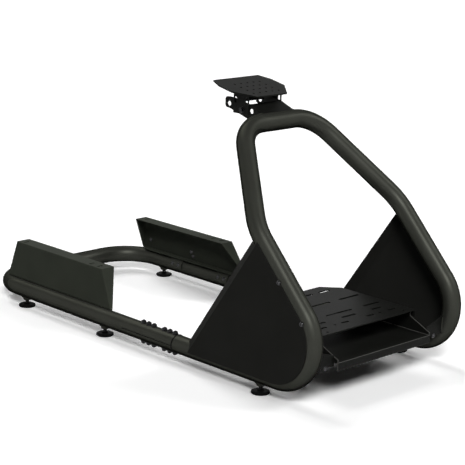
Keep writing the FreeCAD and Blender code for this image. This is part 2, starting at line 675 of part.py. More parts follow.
def make_deck_ear():
    """The plate that hangs from the deck beside the arm, with the pivot hole and two slots."""
    low = PIVOT_Z - EAR_BELOW_PIVOT
    corners = [
        (PIVOT_Y + EAR_REACH_REAR, deck_underside(EAR_REACH_REAR)),
        (PIVOT_Y + EAR_REACH_REAR, low),
        (PIVOT_Y - EAR_REACH_FRONT, low),
        (PIVOT_Y - EAR_REACH_FRONT, deck_underside(-EAR_REACH_FRONT)),
    ]
    inner = ARM_HALF_WIDTH + DECK_EAR_GAP
    cutters = [hole(Vector(0, PIVOT_Y, PIVOT_Z), X_AXIS, PIVOT_HOLE_D)]
    for behind in EAR_SLOTS_BEHIND:
        centre = Vector(0, PIVOT_Y + behind, PIVOT_Z + EAR_SLOT_ABOVE)
        cutters.append(slot(centre, Z_AXIS, Y_AXIS, EAR_SLOT_LENGTH, EAR_SLOT_WIDTH))
    return plate_yz(corners, inner, inner + SHEET).cut(cutters)


# Front frame
side_bar = bent_bar(SIDE_POINTS, [FRONT_BEND_R], TUBE_R)
hoop_bar = bent_bar(HOOP_POINTS, HOOP_RADII, TUBE_R)
write_pair("side_tube", make_side_tube())
write("wheel_hoop", hoop_bar.cut(bent_bar(HOOP_POINTS, HOOP_RADII, BORE_R)))
write_pair("connector", make_connector())
clear_r = TUBE_R + PANEL_FLANGE_GAP
clear_bars = [bent_bar(SIDE_POINTS, [FRONT_BEND_R], clear_r), bent_bar(HOOP_POINTS, HOOP_RADII, clear_r)]
write_pair("side_panel", make_side_panel(clear_bars))
write("pedal_plate", make_pedal_plate())
write("pedal_tray", make_pedal_tray())
write_pair("tray_ear_front", make_front_ear(side_bar))
write_pair("tray_ear_rear", make_rear_ear(side_bar))
write("wheel_arm", make_wheel_arm(hoop_bar))
write_pair("foot_front", make_foot(FRONT_AXIS_Y + FRONT_FOOT_FROM_FRONT))

# Rear frame
write("rear_tube", make_rear_tube())
write_pair("seat_bracket", make_seat_bracket())
for label, place in zip(("rear", "front"), SADDLE_PLACES):
    write_pair("seat_saddle_" + label, make_saddle(place))
write_pair("foot_middle", make_foot(REAR_AXIS_Y - MIDDLE_FOOT_FROM_REAR))
write_pair("foot_rear", make_foot(REAR_AXIS_Y - REAR_FOOT_FROM_REAR))

# Wheel deck
write("wheel_deck", make_wheel_deck())
write_pair("deck_ear", make_deck_ear())
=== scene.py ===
import json
from math import cos, pi, radians, sin

import bmesh
import bpy
import numpy as np
from bpy.props import FloatProperty, FloatVectorProperty, PointerProperty
from mathutils import Matrix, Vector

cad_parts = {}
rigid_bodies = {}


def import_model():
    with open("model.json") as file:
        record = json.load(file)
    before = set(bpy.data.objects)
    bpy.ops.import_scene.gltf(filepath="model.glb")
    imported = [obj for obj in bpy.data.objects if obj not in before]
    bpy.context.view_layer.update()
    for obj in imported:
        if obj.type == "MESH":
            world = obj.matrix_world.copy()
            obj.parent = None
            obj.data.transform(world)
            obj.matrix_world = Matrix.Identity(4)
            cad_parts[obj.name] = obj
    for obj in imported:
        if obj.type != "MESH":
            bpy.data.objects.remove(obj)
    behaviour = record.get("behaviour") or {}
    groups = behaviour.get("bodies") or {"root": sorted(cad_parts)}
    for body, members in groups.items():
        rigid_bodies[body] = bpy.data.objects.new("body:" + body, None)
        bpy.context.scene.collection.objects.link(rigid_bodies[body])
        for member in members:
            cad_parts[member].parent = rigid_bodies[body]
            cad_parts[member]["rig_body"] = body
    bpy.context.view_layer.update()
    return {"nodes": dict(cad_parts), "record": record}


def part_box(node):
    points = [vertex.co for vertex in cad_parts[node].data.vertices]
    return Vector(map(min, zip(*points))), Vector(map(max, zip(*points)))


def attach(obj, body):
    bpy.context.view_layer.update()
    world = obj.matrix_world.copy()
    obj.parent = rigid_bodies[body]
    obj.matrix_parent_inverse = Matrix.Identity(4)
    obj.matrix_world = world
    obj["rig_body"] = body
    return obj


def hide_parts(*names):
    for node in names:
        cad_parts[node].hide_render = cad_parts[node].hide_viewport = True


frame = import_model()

bl_info = {
    "name": "Sim Racing Cockpit",
    "version": (1, 0, 0),
    "blender": (4, 5, 0),
    "location": "View3D > Sidebar > Cockpit",
    "description": "Dresses the cockpit's tube frame with its coats, fasteners, welds and studio",
    "category": "Object",
}

SLOTS = {entry["node"]: entry["material_slot"] for entry in frame["record"]["subparts"]}
MIRROR = np.array([-1.0, 1.0, 1.0])
X_AXIS, Y_AXIS, Z_AXIS = np.eye(3)

# Places of the frame, in metres, as the solids have them
TUBE_R = 0.0254
REAR_LOW, REAR_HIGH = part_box("rear_tube")
HALF_SPACING = REAR_HIGH.x - TUBE_R
AXIS_Z = REAR_HIGH.z - TUBE_R
JOINT_Y = REAR_LOW.y
SHEET = 0.003
DECK_TILT = radians(11.4)
PIVOT_Y, PIVOT_Z = -0.1749, 0.674
BAR_Y, BAR_Z = -0.2489, 0.648
BEND_Y, BEND_Z, BEND_R = -0.5506, 0.1659, 0.114
LEG_FOOT_Y, LEG_ANGLE = -0.8166, radians(46.4)
DECK_ABOVE_PIVOT = 0.0475
CLAMP_GROUP_STARTS, CLAMP_BOLTS_IN_GROUP = (0.0125, 0.099), 3
STEM_R, STEM_LOW, STEM_HIGH = 0.005, 0.0122, 0.0206
BOSS_DROP, BOSS_R, BOSS_SLOPE = 0.006, 0.011, 0.006 / 0.0187

# Short slots and round holes at the front of the pedal plate: across, from the front, length, width
FRONT_CUTS = (
    (0.050, 0.043, 0.029, 0.009),
    (0.089, 0.043, 0.008, 0.008),
    (0.150, 0.013, 0.008, 0.008),
)

# Round screws on the left: up the panel, on the front ear, on the saddles and on the bracket's wall
PANEL_SCREW_WAYS = (0.2457, 0.3665)
EAR_SCREW_X, EAR_SCREW_Z = 0.216, 0.097
SADDLE_SCREW_LEAN, SADDLE_SCREW_REACH, SADDLE_SCREW_HALF_PITCH = radians(72), TUBE_R + 0.0043, 0.013
WALL_SCREWS = [(0.2694, 0.3586, 0.0956), (0.2676, 0.366, 0.108), (0.2674, 0.559, 0.109)]

# Where the beads on the arm and on the rear ears begin and end round their tubes, in degrees
ARM_BEAD_TURN, REAR_EAR_BEAD_TURN = (-28, 88), (92, 149)

# Angles above which an edge is sharp, in degrees: on bolts, screws and sheet, and on beads, rings and threads
MACHINED_SHARP, BEAD_SHARP = 35, 80
# Copies of sheet pieces: the distance within which corners are merged, and the angle called flat
MERGE_DISTANCE, FLAT_ANGLE = 0.00002, radians(0.5)
# Size of the broad drift of shade in a powder coat, in metres
COAT_DRIFT = 0.09

# Lamps: name, the property with their share, width in degrees and the direction that they stand in
LAMPS = (
    ("overhead_lamp", "overhead", 30, (0.10, 0.62, 0.78)),
    ("front_lamp", "front", 20, (-0.48, -0.57, 0.67)),
    ("fill_lamp", "fill", 20, (0.53, -0.53, 0.67)),
)
WHITE = (1, 1, 1, 1)
# What the floor gives back to the room, and half of what it gives back to the camera
FLOOR_PALE, FLOOR_PAPER = (0.2, 0.2, 0.2, 1), (0.59, 0.59, 0.59, 1)
# The backdrop's radius and height, as shares of half the floor's side, and how far it goes under the floor
BACKDROP_REACH, BACKDROP_RISE, BACKDROP_SUNK = 0.95, 0.6, 0.01
# The width of the camera's sensor in millimetres, and how far it sees in metres
SENSOR_WIDTH, CLIP_END = 36, 500


# Properties

class CockpitSizes(bpy.types.PropertyGroup):
    """Sizes of the fasteners, threads, welds, rings and edges"""

    clamp_bolt_width: FloatProperty(
        name="Clamp Bolt Width", description="Width of a clamp bolt's head across its corners",
        default=0.015, min=0.008, max=0.025, unit="LENGTH")
    clamp_bolt_rise: FloatProperty(
        name="Clamp Bolt Rise", description="How far a clamp bolt stands off the tube",
        default=0.009, min=0.004, max=0.02, unit="LENGTH")
    clamp_bolt_pitch: FloatProperty(
        name="Clamp Bolt Pitch", description="Distance between neighbours in a group of clamp bolts",
        default=0.0218, min=0.016, max=0.03, unit="LENGTH")
    button_width: FloatProperty(
        name="Button Screw Width", description="Width of the round screws of the panels, tray and saddles",
        default=0.010, min=0.004, max=0.02, unit="LENGTH")
    pivot_bolt_width: FloatProperty(
        name="Pivot Bolt Width", description="Width of the wheel deck's bolts across their corners",
        default=0.0145, min=0.008, max=0.025, unit="LENGTH")
    thread_pitch: FloatProperty(
        name="Thread Pitch", description="Rise of the thread on a levelling foot in one turn",
        default=0.0017, min=0.001, max=0.004, unit="LENGTH")
    bead_width: FloatProperty(
        name="Weld Bead Width", description="Width of a weld bead",
        default=0.0042, min=0.001, max=0.01, unit="LENGTH")
    ripple: FloatProperty(
        name="Weld Ripple", description="Distance from one ripple of a weld to the next",
        default=0.0032, min=0.001, max=0.01, unit="LENGTH")
    # The dark rings are painted shade: they stand in for the thin shadow line where the rear tube's sleeve
    # ends
    shade_ring_width: FloatProperty(
        name="Joint Ring Width", description="Width of the dark rings on the ends of the rear tube",
        default=0.0046, min=0.002, max=0.01, unit="LENGTH")
    broken_edge: FloatProperty(
        name="Broken Edge", description="Width of the softened edges of the cut sheet",
        default=0.0007, min=0.0001, max=0.0014, unit="LENGTH")
    # The tray's broken edges are wider than the rest and carry a paler coat: a painted highlight along its
    # lip and cheeks, not wear
    tray_highlight_edge: FloatProperty(
        name="Tray Edge", description="Width of the worn edges of the tray",
        default=0.0012, min=0.0001, max=0.0014, unit="LENGTH")


class CockpitColours(bpy.types.PropertyGroup):
    """Colours of the coats and metals"""

    tube: FloatVectorProperty(
        name="Tube Coat", description="Satin powder coat of the tubes",
        default=(0.0490, 0.0506, 0.0430), min=0, max=1, subtype="COLOR")
    inner_tube: FloatVectorProperty(
        name="Inner Tube Coat", description="Coat of the sliding connectors",
        default=(0.030, 0.030, 0.029), min=0, max=1, subtype="COLOR")
    panel: FloatVectorProperty(
        name="Panel Coat", description="Matt coat of the side panels",
        default=(0.0205, 0.0207, 0.0188), min=0, max=1, subtype="COLOR")
    bracket: FloatVectorProperty(
        name="Bracket Coat", description="Matt coat of the seat brackets",
        default=(0.0390, 0.0432, 0.0338), min=0, max=1, subtype="COLOR")
    plate: FloatVectorProperty(
        name="Plate Coat", description="Textured coat of the plates",
        default=(0.0075, 0.0078, 0.0068), min=0, max=1, subtype="COLOR")
    # Painted highlight: a pale coat on the tray's broken edges, standing in for the light caught along its
    # lip and cheeks
    edge: FloatVectorProperty(
        name="Edge Coat", description="Thin, paler coat on the edges of the tray",
        default=(0.080, 0.080, 0.074), min=0, max=1, subtype="COLOR")
    foot: FloatVectorProperty(
        name="Foot Plastic", description="Moulded plastic of the levelling feet",
        default=(0.006, 0.006, 0.006), min=0, max=1, subtype="COLOR")
    zinc: FloatVectorProperty(
        name="Zinc Steel", description="Plated steel of the screws",
        default=(0.06, 0.06, 0.062), min=0, max=1, subtype="COLOR")
    black_steel: FloatVectorProperty(
        name="Blackened Steel", description="Blackened steel of the bolts and nuts",
        default=(0.024, 0.024, 0.025), min=0, max=1, subtype="COLOR")


class CockpitStage(bpy.types.PropertyGroup):
    """The studio: camera, lamps and floor"""

    camera_place: FloatVectorProperty(
        name="Camera Place", description="Where the camera stands",
        default=(-3.0694, -3.19647, 1.40257), subtype="TRANSLATION", unit="LENGTH")
    heading: FloatProperty(
        name="Heading", description="Turn of the camera from the length of the frame towards its left",
        default=radians(44.64), subtype="ANGLE", unit="ROTATION")
    dip: FloatProperty(
        name="Dip", description="How far the camera looks down",
        default=radians(14.113), subtype="ANGLE", unit="ROTATION")
    roll: FloatProperty(
        name="Roll", description="Turn of the camera about its own line of sight",
        default=radians(1.79), subtype="ANGLE", unit="ROTATION")
    lens: FloatProperty(
        name="Lens", description="Focal length for a sensor 36 mm wide",
        default=123.3705, min=10, max=400)
    floor_half: FloatProperty(
        name="Floor Half Width", description="Half of the floor's side",
        default=60.0, min=5, max=500, unit="LENGTH")
    overhead: FloatProperty(
        name="Overhead Light", description="Share of the light that comes from the lamp above and behind",
        default=0.38, min=0, max=2)
    front: FloatProperty(
        name="Front Light", description="Share of the light that comes from the lamp at the front right",
        default=0.68, min=0, max=2)
    fill: FloatProperty(
        name="Fill Light", description="Share of the light that comes from the lamp at the front left",
        default=0.30, min=0, max=2)
    room: FloatProperty(
        name="Room Light", description="Share of the light that comes from all round",
        default=0.05, min=0, max=2)


# Meshes

def turned(profile, sides=24):
    """A turned or six-sided form, as a function of the turn t and the place s along a profile.

    The profile's rows are radius, height and how far the ring is six-sided, from 0 to 1. A point is
    (q cos t, q sin t, height), where q is the radius, drawn in between the corners towards the flats.
    """
    radius, height, six = np.array(profile, float).T
    turn = np.arange(sides) * 2 * pi / sides
    flats = cos(pi / 6) / np.cos((turn + pi / 6) % (pi / 3) - pi / 6)
    reach = radius[:, None] * (1 + six[:, None] * (flats - 1))
    level = np.broadcast_to(height[:, None], reach.shape)
    return np.stack([reach * np.cos(turn), reach * np.sin(turn), level], axis=-1)


def carried(path, radius, square, loop=False, sides=8):
    """A round profile carried along a path: path + radius (cos a side + sin a up).

    The side of each ring is square to the path and to the given direction, and up is square to both.
    """
    ahead = np.roll(path, -1, 0) - np.roll(path, 1, 0) if loop else np.gradient(path, axis=0)
    ahead = ahead / np.linalg.norm(ahead, axis=1, keepdims=True)
    side = np.cross(ahead, square)
    side = side / np.linalg.norm(side, axis=1, keepdims=True)
    up = np.cross(ahead, side)
    turn = (np.arange(sides) * 2 * pi / sides)[None, :, None]
    reach = np.broadcast_to(radius, len(path))[:, None, None]
    return path[:, None] + reach * (np.cos(turn) * side[:, None] + np.sin(turn) * up[:, None])


def skin(grid, loop=False):
    """Vertices and faces of a grid of rings. The first and last ring close to a point, or meet in a loop."""
    rows, sides = grid.shape[:2]
    here = np.arange(sides)
    after = (here + 1) % sides
    row = np.arange(rows if loop else rows - 1)[:, None] * sides
    above = (row + sides) % (rows * sides)
    faces = np.stack([row + here, row + after, above + after, above + here], axis=-1).reshape(-1, 4).tolist()
    vertices = grid.reshape(-1, 3)
    if not loop:
        top = (rows - 1) * sides
        first = np.stack([np.full(sides, rows * sides), after, here], axis=-1)
        last = np.stack([np.full(sides, rows * sides + 1), top + here, top + after], axis=-1)
        faces += first.tolist() + last.tolist()
        vertices = np.vstack([vertices, grid[0].mean(0), grid[-1].mean(0)])
    return vertices, faces


def gathered(skins):
    """Several skins as one: the vertices one after another, and each face moved on by those before it."""
    starts = np.cumsum([0] + [len(vertices) for vertices, made in skins]).tolist()
    faces = []
    for start, (vertices, made) in zip(starts, skins):
        faces += [[corner + start for corner in face] for face in made]
    return np.vstack([vertices for vertices, made in skins]), faces


def placed(grid, origins, axes):
    """Copies of a turned form: origin + x u + y v + z axis, with u and v square to each axis."""
    axes = np.array(axes, float)
    axes = axes / np.linalg.norm(axes, axis=1, keepdims=True)
    helper = np.where(np.abs(axes[:, 2:]) < 0.9, Z_AXIS, X_AXIS)
    u = np.cross(helper, axes)
    u = u / np.linalg.norm(u, axis=1, keepdims=True)
    v = np.cross(axes, u)
    turns = np.stack([u, v, axes], axis=1)
    copies = np.array(origins)[:, None, None] + np.einsum("rsk,nkj->nrsj", grid, turns)
    return gathered([skin(copy) for copy in copies])


def both_sides(points):
    """Points or directions of the left, followed by their mirror images on the right."""
    points = np.array(points, float)
    return np.vstack([points, points * MIRROR])


def bead(path, square, loop=False):
    """A weld bead: a round profile carried along a path, thicker and thinner in turn.

    Its radius is half the bead's width times 1 + swell sin(2 pi way / ripple), way being the length so far.
    """
    sizes = bpy.context.scene.cockpit_sizes
    steps = np.linalg.norm(np.diff(path, axis=0, prepend=path[:1]), axis=1)
    way = np.cumsum(steps)
    swell = 0.16
    radius = sizes.bead_width / 2 * (1 + swell * np.sin(2 * pi * way / sizes.ripple))
    return skin(carried(path, radius, square, loop), loop)


def piece(name, made, body, material, sharp=MACHINED_SHARP):
    """Adds an object from vertices and faces, in place, on its body and with its finish."""
    vertices, faces = made
    mesh = bpy.data.meshes.new(name)
    mesh.from_pydata(np.asarray(vertices).tolist(), [], faces)
    mesh.polygons.foreach_set("use_smooth", np.ones(len(mesh.polygons), bool))
    mesh.set_sharp_from_angle(angle=radians(sharp))
    mesh.materials.append(material)
    mesh.validate()
    mesh.update()
    made_object = bpy.data.objects.new(name, mesh)
    bpy.context.scene.collection.objects.link(made_object)
    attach(made_object, body)


# Finishes

class Value:
    """A socket of a finish. Arithmetic on it adds Math nodes."""

    def __init__(self, finish, socket):
        self.finish = finish
        self.socket = socket

    def math(self, operation, left, right):
        return self.finish.node("ShaderNodeMath", {"operation": operation}, {0: left, 1: right})

    def __add__(self, other):
        return self.math("ADD", self, other)

    def __radd__(self, other):
        return self.math("ADD", other, self)

    def __sub__(self, other):
        return self.math("SUBTRACT", self, other)

    def __rsub__(self, other):
        return self.math("SUBTRACT", other, self)

    def __mul__(self, other):
        return self.math("MULTIPLY", self, other)

    def __rmul__(self, other):
        return self.math("MULTIPLY", other, self)


class Finish:
    """A material or world whose nodes are made by expressions."""

    def __init__(self, owner):
        owner.use_nodes = True
        self.owner = owner
        self.tree = owner.node_tree
        self.tree.nodes.clear()

    def node(self, kind, settings=None, sockets=None, output=0):
        """Adds a node: its settings first, then the values or links of its sockets."""
        made = self.tree.nodes.new(kind)
        for key, value in (settings or {}).items():
            setattr(made, key, value)
        for key, value in (sockets or {}).items():
            if isinstance(value, Value):
                self.tree.links.new(value.socket, made.inputs[key])
            else:
                made.inputs[key].default_value = value
        return Value(self, made.outputs[output]) if made.outputs else None

    def place(self, stretch=None):
        """Object coordinates, stretched by a Mapping node where a pattern runs one way."""
        spot = self.node("ShaderNodeTexCoord", output="Object")
        if stretch:
            spot = self.node("ShaderNodeMapping", {}, {"Vector": spot, "Scale": stretch})
        return spot

    def noise(self, size, detail=2.0, stretch=None):
        """Noise from 0 to 1 whose spots are about the given size in metres."""
        sockets = {"Vector": self.place(stretch), "Scale": 1 / size, "Detail": detail}
        return self.node("ShaderNodeTexNoise", {}, sockets)

    def blend(self, low, high, factor):
        """A colour between two colours."""
        sockets = {0: factor, 6: (*low, 1), 7: (*high, 1)}
        return self.node("ShaderNodeMix", {"data_type": "RGBA"}, sockets, output=2)

    def bump(self, height, distance):
        """A normal raised by a height, at most the given distance in metres."""
        return self.node("ShaderNodeBump", {}, {"Distance": distance, "Height": height})

    def surface(self, sockets):
        """Ends the finish in a Principled shader and gives back its material."""
        shader = self.node("ShaderNodeBsdfPrincipled", {}, sockets)
        self.node("ShaderNodeOutputMaterial", {}, {"Surface": shader})
        return self.owner


def scaled(colour, factor):
    """A colour made darker or lighter."""
    return tuple(part * factor for part in colour)


def powder_coat(name, colour, roughness, grain, depth, gloss=0.0, flake=0.0):
    """Powder coat: fine grain in colour and relief, and a broad drift of shade and gloss.

    A coat shines by its gloss, or by a share of metal flake that has no gleam at its edges.
    """
    finish = Finish(bpy.data.materials.new(name))
    fine = finish.noise(grain, 3.0)
    broad = finish.noise(COAT_DRIFT, 1.0)
    shade = finish.blend(scaled(colour, 0.72), scaled(colour, 1.3), 0.5 * fine + 0.5 * broad)
    return finish.surface({
        "Base Color": shade,
        "Roughness": (roughness - 0.06) + 0.08 * fine + 0.05 * broad,
        "Metallic": flake,
        "Specular IOR Level": gloss,
        "Specular Tint": (0, 0, 0, 1) if flake else WHITE,
        "Normal": finish.bump(fine, depth),
    })


def sliding_coat(name, colour):
    """Coat of the connectors, rubbed along their length where the outer tube slides."""
    finish = Finish(bpy.data.materials.new(name))
    streak = finish.noise(0.004, 3.0, stretch=(1.0, 0.03, 1.0))
    fine = finish.noise(0.0012, 2.0)
    shade = finish.blend(scaled(colour, 0.7), scaled(colour, 1.7), streak)
    return finish.surface({
        "Base Color": shade,
        "Roughness": 0.48 - 0.2 * streak,
        "Specular IOR Level": 0.3,
        "Normal": finish.bump(0.6 * streak + 0.4 * fine, 0.00006),
    })


def moulded_plastic(name, colour):
    """Moulded plastic: an even fine grain over a slow drift of gloss."""
    finish = Finish(bpy.data.materials.new(name))
    grain = finish.noise(0.0009, 3.0)
    drift = finish.noise(0.02, 1.0)
    shade = finish.blend(scaled(colour, 0.8), scaled(colour, 1.4), 0.4 * grain + 0.6 * drift)
    return finish.surface({
        "Base Color": shade,
        "Roughness": 0.40 + 0.14 * drift,
        "Specular IOR Level": 0.02,
        "Normal": finish.bump(grain, 0.00008),
    })


def steel(name, colour, roughness):
    """Plated steel: fine turned scratches and cloudy patches of plating."""
    finish = Finish(bpy.data.materials.new(name))
    cloud = finish.noise(0.004, 2.0)
    scratch = finish.noise(0.0006, 2.0, stretch=(1.0, 1.0, 0.2))
    shade = finish.blend(scaled(colour, 0.75), scaled(colour, 1.2), cloud)
    return finish.surface({
        "Base Color": shade,
        "Metallic": 1.0,
        "Roughness": (roughness - 0.07) + 0.14 * scratch,
        "Normal": finish.bump(scratch, 0.00003),
    })


FINISHES = {}


def make_finishes(colours):
    """All the finishes of the object, by name."""
    FINISHES["tube_coat"] = powder_coat("tube_coat", colours.tube, 0.42, 0.0022, 0.00003, flake=0.52)
    FINISHES["panel_coat"] = powder_coat("panel_coat", colours.panel, 0.62, 0.0016, 0.00006, 0.015)
    FINISHES["bracket_coat"] = powder_coat("bracket_coat", colours.bracket, 0.55, 0.0016, 0.00008, 0.02)
    FINISHES["plate_coat"] = powder_coat("plate_coat", colours.plate, 0.5, 0.0020, 0.00013, 0.06)
    # Painted highlight for the tray's edges: a pale, glossier coat on its bevels
    FINISHES["painted_highlight_coat"] = powder_coat("painted_highlight_coat", colours.edge, 0.45, 0.0020, 0.00005, 0.1)
    FINISHES["inner_tube_coat"] = sliding_coat("inner_tube_coat", colours.inner_tube)
    FINISHES["foot_plastic"] = moulded_plastic("foot_plastic", colours.foot)
    FINISHES["zinc_steel"] = steel("zinc_steel", colours.zinc, 0.34)
    FINISHES["black_steel"] = steel("black_steel", colours.black_steel, 0.27)


# Operators

class COCKPIT_OT_coats(bpy.types.Operator):
    """Makes the finishes and coats every piece of the frame"""

    bl_idname = "cockpit.coats"
    bl_label = "Coat the Frame"

    def execute(self, context):
        make_finishes(context.scene.cockpit_colours)
        for node, solid in frame["nodes"].items():
            solid.data.materials.clear()
            solid.data.materials.append(FINISHES[SLOTS[node]])
        return {"FINISHED"}


class COCKPIT_OT_sheet_edges(bpy.types.Operator):
    """Gives the cut sheet pieces softly broken edges and the pedal plate its front slots"""

    bl_idname = "cockpit.sheet_edges"
    bl_label = "Sheet Metal"

    def execute(self, context):
        sizes = context.scene.cockpit_sizes
        sheets = ("side_panel", "seat_bracket", "pedal_plate", "pedal_tray", "tray_ear", "wheel", "deck_ear")
        for node in [node for node in frame["nodes"] if node.startswith(sheets) and node != "wheel_hoop"]:
            self.soften(node, sizes.tray_highlight_edge if node == "pedal_tray" else sizes.broken_edge)
        return {"FINISHED"}

    def soften(self, node, width):
        """A merged copy of the node, its flat faces made whole, with a narrow round on each sharp edge."""
        mesh = bpy.data.meshes.new(node + "_sheet")
        form = bmesh.new()
        form.from_mesh(frame["nodes"][node].data)
        bmesh.ops.remove_doubles(form, verts=form.verts, dist=MERGE_DISTANCE)
        bmesh.ops.dissolve_limit(
            form, angle_limit=FLAT_ANGLE, verts=form.verts, edges=form.edges, use_dissolve_boundaries=False)
        form.to_mesh(mesh)
        form.free()
        mesh.polygons.foreach_set("use_smooth", np.ones(len(mesh.polygons), bool))
        mesh.materials.append(FINISHES[SLOTS[node]])
        sheet = bpy.data.objects.new(node + "_sheet", mesh)
        bpy.context.scene.collection.objects.link(sheet)
        if node == "pedal_plate":
            self.pierce(sheet)
        edge = sheet.modifiers.new("broken_edge", "BEVEL")
        edge.width = width
        edge.segments = 2
        edge.limit_method = "ANGLE"
        edge.angle_limit = radians(MACHINED_SHARP)
        # The tray's bevels take the pale coat: a painted highlight along its lip and cheeks
        if node == "pedal_tray":
            mesh.materials.append(FINISHES["painted_highlight_coat"])
            edge.material = 1
        level = sheet.modifiers.new("level_faces", "WEIGHTED_NORMAL")
        level.weight = 100
        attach(sheet, frame["nodes"][node]["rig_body"])
        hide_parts(node)

    def pierce(self, sheet):
        """Cuts the short slots and round holes at the front of the pedal plate.

        A cutter is a round-ended post: (straight sign(cos t) + r cos t, r sin t) at two heights.
        """
        low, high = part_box("pedal_plate")
        levels = (high.z - 2 * SHEET, high.z + SHEET)
        sides = 24
        turn = (np.arange(sides) + 0.5) * 2 * pi / sides
        posts = []
        for across, from_front, length, width in FRONT_CUTS:
            straight = (length - width) / 2
            x = across + straight * np.sign(np.cos(turn)) + width / 2 * np.cos(turn)
            y = low.y + from_front + width / 2 * np.sin(turn)
            post = np.stack([np.stack([x, y, np.full(turn.shape, level)], axis=-1) for level in levels])
            posts += [skin(post), skin(post[:, ::-1] * MIRROR)]
        vertices, faces = gathered(posts)
        mesh = bpy.data.meshes.new("cutter")
        mesh.from_pydata(vertices.tolist(), [], faces)
        cutter = bpy.data.objects.new("cutter", mesh)
        bpy.context.scene.collection.objects.link(cutter)
        cut = sheet.modifiers.new("front_cuts", "BOOLEAN")
        cut.object = cutter
        pierced = sheet.evaluated_get(bpy.context.evaluated_depsgraph_get())
        sheet.data = bpy.data.meshes.new_from_object(pierced)
        sheet.data.polygons.foreach_set("use_smooth", np.ones(len(sheet.data.polygons), bool))
        sheet.modifiers.clear()
        bpy.data.objects.remove(cutter)


class COCKPIT_OT_clamp_bolts(bpy.types.Operator):
    """Puts the clamp bolts, with nuts and washers, through the slit ends of the rear tube"""

    bl_idname = "cockpit.clamp_bolts"
    bl_label = "Clamp Bolts"

    def execute(self, context):
        sizes = context.scene.cockpit_sizes
        half, rise = sizes.clamp_bolt_width / 2, sizes.clamp_bolt_rise
        washer = half * 1.12
        upper = [
            (0.004, TUBE_R - 0.0014, 0), (washer, TUBE_R - 0.0014, 0), (washer, TUBE_R + 0.0010, 0),
            (washer * 0.96, TUBE_R + 0.0013, 0), (half * 0.94, TUBE_R + 0.0013, 1),
            (half, TUBE_R + 0.0018, 1), (half, TUBE_R + rise * 0.66, 1),
            (half * 0.93, TUBE_R + rise * 0.74, 0.75),
            (0.0043, TUBE_R + rise * 0.76, 0), (0.0040, TUBE_R + rise * 0.78, 0),
            (0.0040, TUBE_R + rise * 0.94, 0), (0.0033, TUBE_R + rise, 0),
        ]
        lower = [(radius, -height, six) for radius, height, six in reversed(upper)]
        steps = sizes.clamp_bolt_pitch * np.arange(CLAMP_BOLTS_IN_GROUP)
        ways = [JOINT_Y + start + step for start in CLAMP_GROUP_STARTS for step in steps]
        origins = both_sides([(HALF_SPACING, way, AXIS_Z) for way in ways])
        made = placed(turned(lower + upper), origins, np.tile(Z_AXIS, (len(origins), 1)))
        piece("clamp_bolts", made, "rear_frame", FINISHES["black_steel"])
        return {"FINISHED"}


class COCKPIT_OT_joint_shade_rings(bpy.types.Operator):
    """Puts the dark rings on the ends of the rear tube: painted shade, standing in for the thin shadow line
    where the sleeve ends
    """

    bl_idname = "cockpit.joint_rings"
    bl_label = "Joint Rings"

    def execute(self, context):
        half = context.scene.cockpit_sizes.shade_ring_width / 2
        sunk = 0.45 * half
        reach = TUBE_R - sunk
        turn = np.linspace(0, 2 * pi, 64, endpoint=False)
        across, level = HALF_SPACING + reach * np.cos(turn), AXIS_Z + reach * np.sin(turn)
        path = np.stack([across, np.full(turn.shape, JOINT_Y + half), level], axis=-1)
        ways = (path, path[::-1] * MIRROR)
        made = gathered([skin(carried(way, half, Y_AXIS, loop=True), loop=True) for way in ways])
        piece("joint_shade_rings", made, "rear_frame", FINISHES["foot_plastic"], BEAD_SHARP)
        return {"FINISHED"}


def button_profile(width):
    """A round screw with a six-sided recess, on a thin washer, sunk a little in what carries it."""
    half = width / 2
    return [
        (half * 1.25, -0.0016, 0), (half * 1.25, 0.0005, 0), (half * 1.2, 0.0008, 0), (half, 0.0008, 0),
        (half, 0.0013, 0), (half * 0.86, 0.0026, 0), (half * 0.62, 0.0034, 0), (half * 0.42, 0.0036, 0.6),
        (half * 0.40, 0.0034, 1), (half * 0.38, 0.0018, 1),
    ]


class COCKPIT_OT_screws(bpy.types.Operator):
    """Puts the round screws on the panels, tray ears, saddles and bracket walls"""

    bl_idname = "cockpit.screws"
    bl_label = "Screws"

    def execute(self, context):
        grid = turned(button_profile(context.scene.cockpit_sizes.button_width))
        panel_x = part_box("side_panel_left")[1].x
        ahead, rise = cos(LEG_ANGLE), sin(LEG_ANGLE)
        panel = [(panel_x, LEG_FOOT_Y + way * ahead, AXIS_Z + way * rise) for way in PANEL_SCREW_WAYS]
        ear = [(EAR_SCREW_X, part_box("tray_ear_front_left")[0].y, EAR_SCREW_Z)]
        axes = both_sides([X_AXIS] * len(panel) + [-Y_AXIS] * len(ear))
        made = placed(grid, both_sides(panel + ear), axes)
        piece("frame_screws", made, "front_frame", FINISHES["zinc_steel"])
        outward = np.array([-sin(SADDLE_SCREW_LEAN), 0, cos(SADDLE_SCREW_LEAN)])
        rows = []
        for node in ("seat_saddle_rear_left", "seat_saddle_front_left"):
            low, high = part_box(node)
            middle = (low.y + high.y) / 2
            rows += [middle - SADDLE_SCREW_HALF_PITCH, middle + SADDLE_SCREW_HALF_PITCH]
        saddle = [np.array([HALF_SPACING, way, AXIS_Z]) + SADDLE_SCREW_REACH * outward for way in rows]
        axes = both_sides([outward] * len(saddle) + [-X_AXIS] * len(WALL_SCREWS))
        made = placed(grid, both_sides(saddle + WALL_SCREWS), axes)
        piece("seat_screws", made, "rear_frame", FINISHES["zinc_steel"])
        return {"FINISHED"}


